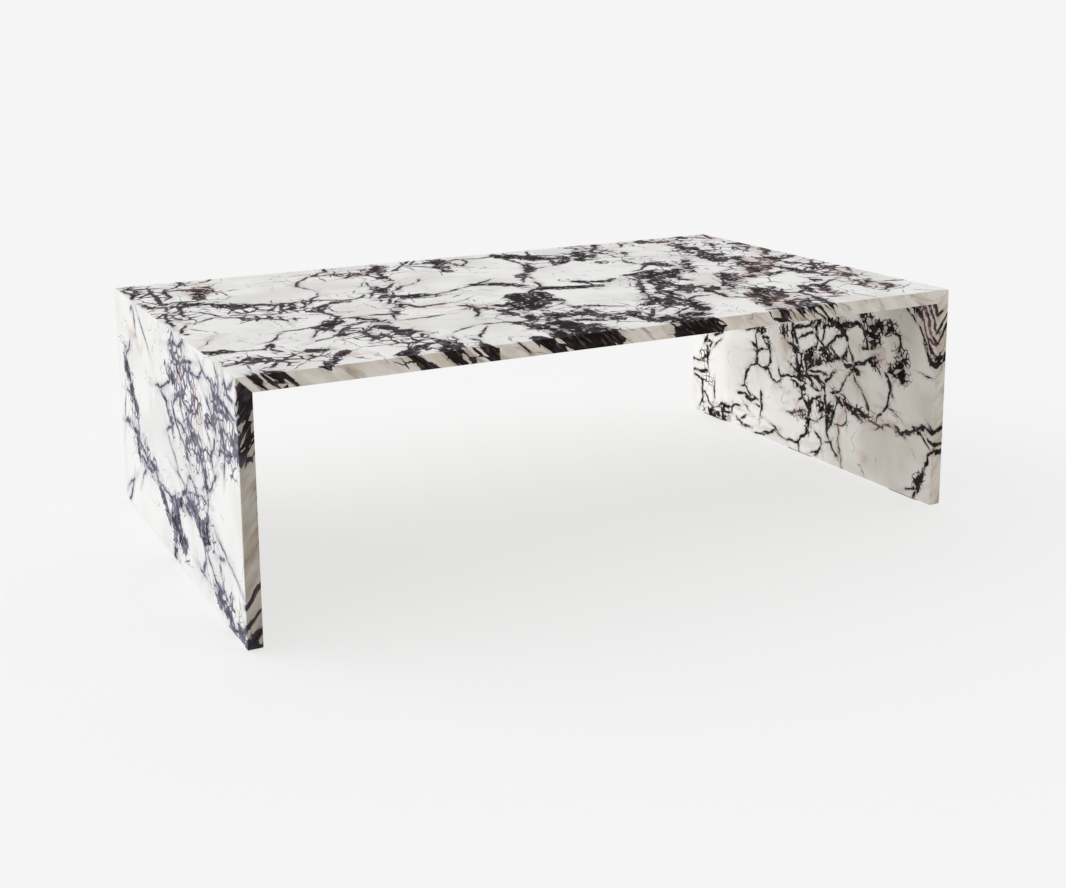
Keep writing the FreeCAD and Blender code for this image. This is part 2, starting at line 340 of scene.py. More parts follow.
top_low, top_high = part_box("top_slab")
TOP_VEINS = [
    (5, (22, 5), (15, 22), (20, 45), (8, 75), (2, 105)),
    (5, (15, 22), (38, 34), (62, 44)),
    (6, (98, 0), (95, 22), (88, 42), (74, 56)),
    (5, (150, 0), (140, 16), (128, 24)),
    (15, (120, 72), (104, 100), (92, 150)),
    (6, (70, 72), (100, 72)),
    (4, (92, 150), (84, 172)),
    (6, (42, 46), (35, 78), (33, 112), (27, 160)),
    (5, (63, 56), (58, 92), (54, 122), (40, 138)),
    (8, (2, 165), (12, 196)),
    (7, (24, 164), (34, 172)),
    (6, (44, 165), (82, 176)),
    (9, (58, 180), (64, 202), (100, 196)),
    (12, (98, 212), (112, 232), (132, 246)),
    (8, (122, 226), (150, 240), (172, 252)),
    (7, (168, 252), (216, 252)),
    (4, (26, 200), (22, 232), (14, 262), (11, 292), (4, 330)),
    (4, (46, 200), (41, 228), (26, 238)),
    (4, (64, 258), (74, 284), (82, 298)),
    (4, (172, 256), (164, 276), (152, 290)),
    (5, (182, 256), (172, 286)),
    (8, (197, 256), (190, 284), (184, 302)),
    (6, (216, 252), (214, 282), (204, 296)),
    (4, (250, 224), (235, 240), (227, 264), (219, 276)),
    (4, (290, 60), (278, 78), (268, 86), (262, 102), (254, 122)),
    (2, (254, 122), (254, 138), (261, 170), (260, 200), (250, 222)),
    (5, (254, 260), (270, 268), (292, 270)),
    (8, (266, 280), (240, 292), (222, 312), (214, 328)),
    (5, (45, 322), (70, 302), (98, 318), (116, 332)),
    (5, (108, 304), (134, 310), (160, 322), (172, 300)),
    (5, (24, 278), (27, 294)),
    (5, (5, 380), (10, 365), (22, 335)),
    (6, (10, 390)),
    (3, (25, 440), (12, 465)),
    (6, (125, 318), (126, 336), (140, 355), (150, 366)),
    (4, (152, 340), (150, 380)),
    (3, (167, 360), (162, 380)),
    (6, (215, 318), (217, 345), (224, 368), (228, 380), (215, 396)),
    (5, (215, 396), (232, 395), (250, 405)),
    (14, (212, 404), (198, 426), (182, 442)),
    (4, (182, 442), (165, 455), (150, 486)),
    (6, (210, 440), (235, 440), (250, 430)),
    (9, (250, 405), (262, 430), (262, 465), (254, 482)),
    (5, (190, 445), (185, 466)),
    (6, (215, 450), (200, 466), (182, 494)),
    (9, (182, 498), (205, 490)),
    (3, (145, 515), (165, 505), (178, 496)),
    (4, (240, 470), (222, 495), (215, 508), (220, 522), (210, 546)),
    (10, (250, 482), (262, 502), (290, 530)),
    (3, (260, 515), (254, 536)),
    (3, (85, 490), (100, 480), (116, 450)),
    (5, (90, 500), (80, 522), (76, 532)),
    (5, (92, 505), (84, 530), (88, 542)),
    (8, (5, 510), (34, 516)),
    (4, (34, 516), (62, 526), (76, 531)),
    (4, (125, 438), (150, 435), (178, 426)),
    (5, (45, 560), (30, 573), (20, 584), (4, 586)),
    (4, (45, 560), (62, 570), (72, 592), (66, 606), (54, 622)),
    (5, (42, 584), (28, 592)),
    (8, (118, 560), (142, 566)),
    (7, (156, 590), (140, 606), (118, 636)),
    (5, (285, 540), (276, 560), (286, 580), (280, 612)),
    (3, (250, 592), (270, 570)),
    (9, (210, 645), (235, 618), (262, 602)),
    (9, (276, 618), (286, 650)),
    (6, (24, 640), (20, 662)),
    (7, (46, 638), (40, 668)),
    (5, (292, 62), (306, 54), (316, 36), (332, 34), (341, 0)),
    (6, (330, 58), (336, 86)),
    (5, (300, 62), (330, 60)),
    (11, (350, 100), (360, 82), (386, 84), (402, 60), (420, 40)),
    (8, (392, 45)),
    (9, (426, 8), (425, 40), (414, 70), (404, 92)),
    (6, (430, 76), (446, 60)),
    (9, (404, 84), (397, 112), (394, 146)),
    (5, (374, 90), (386, 116)),
    (5, (446, 58), (466, 40), (480, 20), (490, 0)),
    (4, (474, 12), (470, 40), (482, 40), (496, 14), (506, 0)),
    (6, (470, 54), (490, 62), (512, 82)),
    (7, (546, 0), (535, 40), (526, 66)),
    (10, (526, 30), (520, 62), (508, 100), (505, 128)),
    (6, (530, 80), (518, 108)),
    (6, (540, 70), (552, 92)),
    (3, (356, 164), (350, 186), (350, 206), (346, 226)),
    (5, (386, 184), (375, 206), (362, 222)),
    (10, (352, 212), (344, 240)),
    (4, (346, 240), (325, 246), (314, 272)),
    (4, (310, 250), (298, 266), (270, 276)),
    (3, (436, 170), (425, 190), (405, 205), (390, 206), (376, 236)),
    (4, (386, 214), (364, 246), (352, 276)),
    (6, (352, 276), (338, 298), (322, 328)),
    (14, (358, 290), (402, 298)),
    (4, (402, 298), (436, 288), (462, 274), (496, 262)),
    (10, (500, 258), (530, 270), (548, 290), (555, 310)),
    (4, (505, 250), (526, 234)),
    (8, (346, 314), (335, 340), (318, 372), (304, 392)),
    (5, (304, 392), (290, 398), (270, 393)),
    (6, (340, 350), (352, 376), (386, 370)),
    (4, (302, 446), (330, 445), (358, 443)),
    (4, (290, 432), (296, 408)),
    (4, (395, 420), (415, 416), (404, 460), (394, 476)),
    (8, (412, 400), (425, 420), (436, 442), (441, 466), (450, 482)),
    (30, (522, 366), (506, 412), (478, 458)),
    (16, (545, 360), (540, 440)),
    (7, (535, 352), (548, 344), (566, 326)),
    (9, (466, 470), (462, 500), (450, 540)),
    (8, (445, 412), (468, 436)),
    (8, (492, 500), (496, 522), (488, 538)),
    (7, (545, 480), (556, 502)),
    (5, (376, 526), (405, 527), (430, 538)),
    (3, (360, 530), (340, 540), (318, 556)),
    (3, (372, 546), (356, 570), (345, 592)),
    (9, (420, 540), (432, 562), (440, 584)),
    (9, (452, 542), (476, 552), (492, 540), (530, 530)),
    (22, (478, 560), (474, 610), (472, 668)),
    (14, (440, 578), (444, 610), (440, 655)),
    (20, (500, 610), (502, 660)),
    (7, (500, 562), (540, 580), (560, 586)),
    (9, (296, 600), (290, 622), (286, 656)),
    (4, (310, 575), (308, 596), (298, 606)),
    (5, (326, 600), (331, 616), (326, 652)),
    (7, (402, 630), (416, 660)),
    (6, (556, 30), (580, 30), (602, 36), (632, 33)),
    (5, (578, 36), (573, 56), (570, 70), (556, 85)),
    (22, (646, 26), (672, 56), (698, 92)),
    (5, (645, 40), (645, 84), (643, 132)),
    (6, (700, 92), (705, 116), (692, 156)),
    (5, (700, 46), (713, 18)),
    (6, (705, 60), (730, 75), (746, 96)),
    (14, (792, 58), (776, 86), (762, 118), (752, 140)),
    (9, (746, 96), (734, 116), (708, 146)),
    (9, (800, 92), (786, 120), (772, 142)),
    (7, (684, 168), (702, 158)),
    (8, (766, 182), (782, 174)),
    (8, (648, 134), (634, 174), (610, 206), (584, 236)),
    (5, (640, 176), (662, 170)),
    (5, (598, 236), (596, 258)),
    (5, (585, 240), (570, 276)),
    (5, (586, 284), (582, 310), (568, 338)),
    (7, (644, 300), (662, 322), (690, 333), (708, 325)),
    (13, (756, 304), (786, 302), (804, 288)),
    (22, (772, 326), (800, 312), (824, 322)),
    (6, (836, 226), (815, 242), (790, 270), (774, 276)),
    (8, (816, 0), (822, 26)),
    (7, (788, 10), (802, 26)),
    (5, (832, 48), (814, 66)),
    (5, (812, 186), (808, 202), (816, 214)),
    (13, (566, 332), (600, 348), (648, 360)),
    (5, (650, 356), (655, 316)),
    (5, (736, 324), (734, 360), (712, 400)),
    (7, (712, 400), (698, 430), (680, 460), (678, 482)),
    (15, (762, 326), (764, 356), (748, 396)),
    (7, (748, 400), (734, 416), (714, 446)),
    (7, (756, 396), (757, 424), (752, 446)),
    (9, (722, 456), (726, 478)),
    (6, (716, 474), (700, 502)),
    (5, (766, 444), (744, 478)),
    (9, (678, 484), (656, 506), (634, 526)),
    (10, (690, 506), (670, 540)),
    (11, (700, 508), (714, 544)),
    (6, (655, 512), (690, 510), (712, 504)),
    (5, (670, 540), (640, 566)),
    (14, (712, 540), (700, 570), (680, 606)),
    (6, (632, 554), (612, 584), (600, 602)),
    (10, (594, 560), (588, 584), (592, 610)),
    (6, (545, 576), (576, 576)),
    (6, (550, 550), (590, 566)),
    (5, (640, 602), (660, 586), (682, 570)),
    (16, (600, 622), (640, 618), (684, 604)),
    (20, (610, 640), (650, 640), (660, 666)),
    (16, (600, 664), (640, 670)),
    (8, (790, 440), (778, 464), (780, 502)),
    (9, (802, 460), (794, 484)),
    (6, (780, 502), (776, 532)),
    (5, (784, 536), (808, 552)),
    (13, (828, 528), (814, 562), (796, 602), (782, 650)),
    (5, (720, 516), (740, 506), (764, 505)),
    (8, (545, 484), (570, 489)),
    (6, (572, 490), (604, 512)),
    (7, (546, 484), (552, 502), (546, 548)),
    (9, (802, 338), (796, 370), (804, 388)),
    (10, (856, 8), (844, 28)),
    (6, (884, 48), (896, 30), (912, 24)),
    (7, (934, 38), (940, 20), (950, 2)),
    (9, (958, 28), (984, 46)),
    (7, (1041, 8), (1037, 32)),
    (6, (1094, 0), (1086, 30), (1074, 54)),
    (6, (856, 108), (848, 130)),
    (7, (1004, 74), (984, 92)),
    (8, (986, 104), (974, 126), (957, 152)),
    (6, (1046, 96), (1040, 116), (1032, 128)),
    (7, (992, 128), (980, 172)),
    (5, (1062, 138), (1052, 186), (1050, 208)),
    (8, (1076, 152), (1081, 174)),
    (8, (978, 194), (944, 208)),
    (11, (966, 200), (958, 226), (946, 262)),
    (7, (996, 194), (980, 224), (954, 268)),
    (8, (834, 234), (850, 242)),
    (7, (906, 228), (890, 256), (854, 292)),
    (9, (844, 250), (852, 274)),
    (7, (1099, 178), (1090, 206), (1068, 234)),
    (12, (1000, 250), (978, 286), (956, 330)),
    (10, (1020, 272), (1014, 304)),
    (11, (1046, 268), (1036, 312)),
    (10, (1040, 290), (1064, 292), (1100, 274)),
    (9, (1012, 318), (996, 340)),
    (12, (850, 290), (820, 332)),
    (8, (872, 298), (852, 322)),
    (12, (986, 288), (956, 350)),
    (10, (1000, 312), (976, 350)),
    (10, (960, 350), (932, 394)),
    (11, (960, 330), (944, 368), (910, 416)),
    (7, (990, 340), (962, 376)),
    (20, (884, 370), (878, 400), (864, 434)),
    (12, (894, 404), (922, 408), (944, 400)),
    (7, (945, 410), (988, 400)),
    (15, (1006, 364), (1002, 410)),
    (7, (1010, 412), (1011, 432)),
    (5, (1072, 354), (1058, 378), (1032, 412)),
    (5, (1094, 398), (1074, 405), (1034, 420)),
    (6, (1098, 418), (1080, 442)),
    (7, (1016, 462), (1024, 458)),
    (7, (1046, 460), (1048, 476)),
    (5, (1056, 448), (1060, 478), (1050, 497)),
    (7, (974, 494), (978, 484)),
    (9, (852, 428), (838, 448), (814, 488)),
    (9, (852, 498), (872, 516)),
    (17, (852, 508), (832, 536), (816, 590)),
    (8, (870, 520), (848, 574)),
    (5, (868, 550), (886, 560), (902, 542)),
    (8, (918, 526), (908, 566)),
    (11, (952, 524), (944, 548), (928, 582)),
    (6, (962, 522), (984, 506), (1012, 494)),
    (8, (1009, 554), (1013, 578)),
    (7, (1042, 528), (1028, 548)),
    (7, (1046, 558), (1046, 582), (1026, 598)),
    (6, (1058, 546), (1092, 556)),
    (7, (854, 600), (872, 612)),
    (5, (886, 560), (886, 592), (878, 612)),
    (6, (904, 600), (924, 608)),
    (9, (842, 600), (822, 622), (818, 640)),
    (8, (852, 618), (844, 640)),
    (9, (884, 616), (878, 638)),
    (5, (16, 648), (18, 672)),
    (6, (34, 645), (34, 672)),
    (5, (56, 648), (58, 668)),
    (6, (-8, 660), (-8, 678)),
    (9, (217, 640), (226, 672)),
    (14, (276, 638), (274, 664)),
    (8, (322, 645), (322, 672)),
    (4, (370, 650), (370, 665)),
    (11, (405, 640), (405, 672)),
    (30, (462, 655), (470, 675)),
    (24, (628, 655), (640, 675)),
    (7, (778, 640), (774, 672)),
    (5, (791, 640), (788, 664)),
    (2, (800, 650), (796, 672)),
    (4, (808, 640), (814, 672)),
    (3, (819, 640), (811, 660)),
    (2, (826, 654), (830, 672)),
    (5, (836, 640), (830, 658)),
    (3, (839, 656), (846, 672)),
    (4, (855, 640), (849, 672)),
    (2, (858, 640), (866, 657)),
    (3, (876, 640), (869, 659)),
]
TOP_CROWDS = [
    (30, (30, 30), (40, 110)),
    (24, (100, 40), (110, 120)),
    (26, (20, 190), (30, 300)),
    (34, (90, 240), (190, 290)),
    (22, (110, 320), (160, 350)),
    (30, (30, 570), (120, 600)),
    (34, (220, 480), (280, 640)),
    (20, (330, 60), (420, 60)),
    (20, (340, 240), (330, 330)),
    (26, (520, 30), (520, 100)),
    (24, (440, 420), (460, 540)),
    (30, (500, 500), (560, 540)),
    (36, (650, 560), (700, 480)),
    (36, (740, 380), (770, 470)),
    (30, (700, 90), (790, 100)),
    (28, (830, 200), (860, 280)),
    (26, (830, 20), (830, 120)),
    (30, (930, 30), (1060, 30)),
    (46, (1000, 90), (960, 230)),
    (34, (1070, 90), (1070, 220)),
    (44, (1000, 290), (940, 370)),
    (40, (1070, 330), (1040, 470)),
    (30, (850, 480), (830, 640)),
    (24, (930, 520), (930, 590)),
    (24, (1010, 500), (1040, 580)),
    (22, (560, 560), (600, 580)),
]
TOP_STAINS = [
    (24, (112, 72), (98, 130)),
    (20, (355, 88), (415, 56)),
    (14, (116, 6), (116, 34)),
    (18, (15, 420), (48, 426)),
    (14, (360, 376), (404, 392)),
    (16, (408, 398), (432, 424)),
    (16, (170, 596), (168, 620)),
    (20, (960, 35), (990, 48)),
    (26, (1086, 10), (1080, 60)),
    (22, (1090, 190), (1075, 225)),
    (40, (1010, 290), (980, 340)),
    (26, (930, 390), (960, 370)),
    (26, (885, 380), (865, 430)),
    (30, (835, 540), (800, 640)),
    (18, (1030, 560), (1050, 580)),
    (24, (1085, 430), (1060, 460)),
    (16, (935, 560), (925, 585)),
]
dress("top_slab", breccia_marble(
    "honed_breccia_marble_top",
    corner=(top_low[0], top_high[1], top_high[2]),
    axes=((MM, 0, MM), (0, -MM, -MM)),
    streaks=(1 / 6, 1 / 16, 0),
    veins=TOP_VEINS,
    crowds=TOP_CROWDS,
    stains=TOP_STAINS,
    shard=20,
    seam=4.8,
    slim=0.64,
    fill=1.0,
    lace=0.4,
    web=0.15,
    mist=6,
    painted_front_shade=0.0,
    body="#efefed",
    cloud="#e1e0dd",
    sawn_tone_and_shade=("#f1ece3", "#ddd2c3"),
    bloom="#a49ca4",
    rim="#564a52",
    core="#141014",
))

# Backing sheet
# A net of glass fibre bonded under the top with clear resin, because a breccia slab this long would crack
# along its veins. It stops short of the legs and of the front and back edges.
NET_PITCH = 5.0
NET_THREAD = 1.4
net = bpy.data.materials.new("glass_fibre_net_in_resin")
net.use_nodes = True
net_tree = net.node_tree
net_place = add(net_tree, "TexCoord", output="Object")
threads = 0.0
for axis in ((MM, 0, 0), (0, MM, 0)):
    run = add(net_tree, "VectorMath", {0: net_place, 1: axis}, operation="DOT_PRODUCT")
    off_thread = add(net_tree, "Math", {0: run, 1: NET_PITCH / 2}, operation="PINGPONG")
    thread = add(net_tree, "MapRange", {
        "Value": off_thread, "From Min": NET_THREAD / 2, "From Max": 0.0,
    }, interpolation_type="SMOOTHSTEP")
    threads = add(net_tree, "Math", {0: thread, 1: threads}, operation="MAXIMUM")
# Cured resin is glossy and amber where it is thick, and the threads show paler through it
pour = add(net_tree, "TexNoise", {"Vector": net_place, "Scale": MM / 60, "Detail": 4})
resin = add(net_tree, "Mix", {
    "Factor": pour, "A": linear("#b3ad9c"), "B": linear("#8f876f"),
}, data_type="RGBA")
netted = add(net_tree, "Mix", {
    "Factor": threads, "A": resin, "B": linear("#d3d0c2"),
}, data_type="RGBA")
gloss = add(net_tree, "MapRange", {"Value": pour, "To Min": 0.25, "To Max": 0.5})
ridges = add(net_tree, "Bump", {"Height": threads, "Strength": 0.6, "Distance": 0.0003})
net_shader = net_tree.nodes["Principled BSDF"]
net_tree.links.new(netted, net_shader.inputs["Base Color"])
net_tree.links.new(gloss, net_shader.inputs["Roughness"])
net_tree.links.new(ridges, net_shader.inputs["Normal"])
dress("top_backing_sheet", net)

# Left leg
# A slab of the same block, mitred to the top and standing on its sawn lower edge. Its outer face is
# cooler and finer veined, with blue-violet bands and a crowded patch near the front.
left_low, left_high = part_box("left_leg_slab")
LEFT_VEINS = [
    (13, (52, 104), (75, 135), (95, 150)),
    (9, (95, 150), (115, 170)),
    (8, (44, 104), (62, 122)),
    (5, (112, 170), (122, 190), (118, 202)),
    (4, (52, 152), (80, 152)),
    (4, (60, 95), (80, 82), (90, 68)),
    (6, (125, 20), (127, 38)),
    (4, (106, 14), (114, 11)),
    (3, (150, 12), (170, 27), (190, 42), (203, 51)),
    (6, (80, 205), (105, 205), (121, 203)),
    (8, (100, 215), (113, 236)),
    (5, (105, 212), (140, 222), (175, 228), (214, 232)),
    (5, (125, 235), (150, 238), (185, 240), (212, 232)),
    (4, (214, 237), (230, 247), (300, 246), (327, 240)),
    (7, (248, 257), (270, 270), (292, 283)),
    (14, (298, 281), (332, 275)),
    (12, (325, 253), (340, 285), (352, 302)),
    (10, (315, 308), (309, 338)),
    (8, (343, 293), (374, 290)),
    (4, (128, 270), (143, 254)),
    (3, (18, 204), (50, 200)),
    (3, (25, 192), (31, 163)),
    (5, (61, 290), (50, 308), (35, 325), (16, 340)),
    (3, (25, 310), (56, 294)),
    (8, (320, 60), (345, 68)),
    (4, (248, 95), (280, 92), (305, 82), (326, 74)),
    (5, (273, 99), (300, 105), (313, 127)),
    (8, (318, 123), (331, 142)),
    (5, (303, 149), (325, 140), (337, 134)),
    (3, (308, 158), (320, 172), (335, 180), (345, 190), (351, 201)),
    (4, (343, 20), (380, 15), (402, 9)),
    (5, (350, 36), (380, 40), (410, 30), (452, 24)),
    (10, (366, 43), (381, 57)),
    (5, (428, 49), (443, 56)),
    (4, (438, 40), (470, 38), (490, 35), (502, 24)),
    (5, (348, 91), (376, 85)),
    (6, (343, 102), (361, 89)),
    (5, (333, 108), (345, 120), (360, 135), (380, 145), (400, 152), (413, 166)),
    (4, (353, 125), (380, 125), (397, 128)),
    (4, (384, 103), (396, 113)),
    (4, (389, 73), (400, 88), (415, 92), (442, 88)),
    (4, (413, 103), (430, 118), (457, 118)),
    (5, (432, 129), (410, 140), (404, 152)),
    (3, (455, 118), (470, 130), (475, 150), (486, 159)),
    (8, (484, 157), (495, 172), (501, 184)),
    (4, (499, 183), (515, 175), (530, 160), (547, 151)),
    (3, (486, 175), (477, 181)),
    (4, (500, 185), (498, 207)),
    (4, (395, 200), (405, 190), (420, 185), (435, 192), (446, 201)),
    (4, (395, 200), (385, 215), (369, 223)),
    (3, (348, 202), (382, 208)),
    (3, (443, 205), (465, 198), (487, 197)),
    (3, (403, 226), (425, 220), (442, 222)),
    (6, (398, 221), (430, 228), (450, 232), (477, 241)),
    (16, (492, 233), (474, 257)),
    (8, (438, 239), (462, 251)),
    (8, (343, 246), (375, 240), (402, 231)),
    (5, (470, 264), (475, 287)),
    (6, (476, 284), (459, 301)),
    (3, (443, 302), (462, 305)),
    (4, (488, 274), (510, 285), (532, 299)),
    (5, (528, 295), (552, 295)),
    (8, (523, 304), (550, 312), (575, 320), (602, 331)),
    (8, (598, 331), (632, 322)),
    (6, (633, 319), (652, 304)),
    (3, (543, 234), (560, 238), (575, 245), (590, 250), (627, 263)),
    (4, (543, 256), (562, 250)),
    (4, (541, 269), (546, 273)),
    (4, (498, 19), (520, 28), (537, 31)),
    (5, (538, 34), (555, 45), (600, 45), (642, 50)),
    (4, (559, 3), (572, 20), (572, 42)),
    (5, (603, 13), (615, 28), (632, 31)),
    (4, (619, 16), (636, 4)),
    (5, (558, 61), (590, 55), (622, 55)),
    (4, (569, 73), (575, 95), (564, 117)),
    (5, (518, 59), (540, 70), (551, 87)),
    (8, (513, 86), (542, 79)),
    (5, (519, 127), (535, 120), (541, 103)),
    (7, (524, 128), (531, 142)),
    (5, (590, 98), (588, 120), (584, 137)),
    (4, (568, 111), (600, 105), (627, 99)),
    (4, (598, 80), (642, 85)),
    (4, (508, 98), (522, 112)),
    (16, (662, 18), (662, 60), (664, 96)),
    (6, (650, 281), (668, 276)),
    (5, (650, 302), (668, 308)),
    (10, (650, 330), (668, 346)),
]
LEFT_CROWDS = [
    (26, (60, 110), (110, 200)),
    (22, (90, 215), (200, 232)),
    (50, (360, 40), (460, 90)),
    (44, (560, 50), (630, 90)),
    (34, (400, 130), (500, 130)),
    (30, (400, 210), (490, 235)),
    (30, (310, 270), (350, 310)),
    (26, (540, 300), (630, 325)),
]
LEFT_STAINS = [
    (9, (80, 62), (110, 52)),
    (10, (125, 45), (150, 60), (177, 60)),
    (10, (366, 43), (381, 57)),
    (14, (460, 60), (480, 90)),
]
dress("left_leg_slab", breccia_marble(
    "honed_breccia_marble_left",
    corner=(left_low[0], left_high[1], left_high[2]),
    axes=((MM, -MM, 0), (1.1 * MM, 0, -MM)),
    streaks=(1 / 16, 1 / 6, 0),
    veins=LEFT_VEINS,
    crowds=LEFT_CROWDS,
    stains=LEFT_STAINS,
    shard=14,
    seam=4.2,
    slim=0.6,
    fill=0.95,
    lace=0.4,
    web=0.05,
    mist=8,
    painted_front_shade=0.0,
    body="#eaeae8",
    cloud="#e0e0de",
    # Painted shade in part: the front edge colours sit well below the face's white
    sawn_tone_and_shade=("#c4bfb6", "#aa9b89"),
    bloom="#9591a4",
    rim="#7b7789",
    core="#38333f",
))

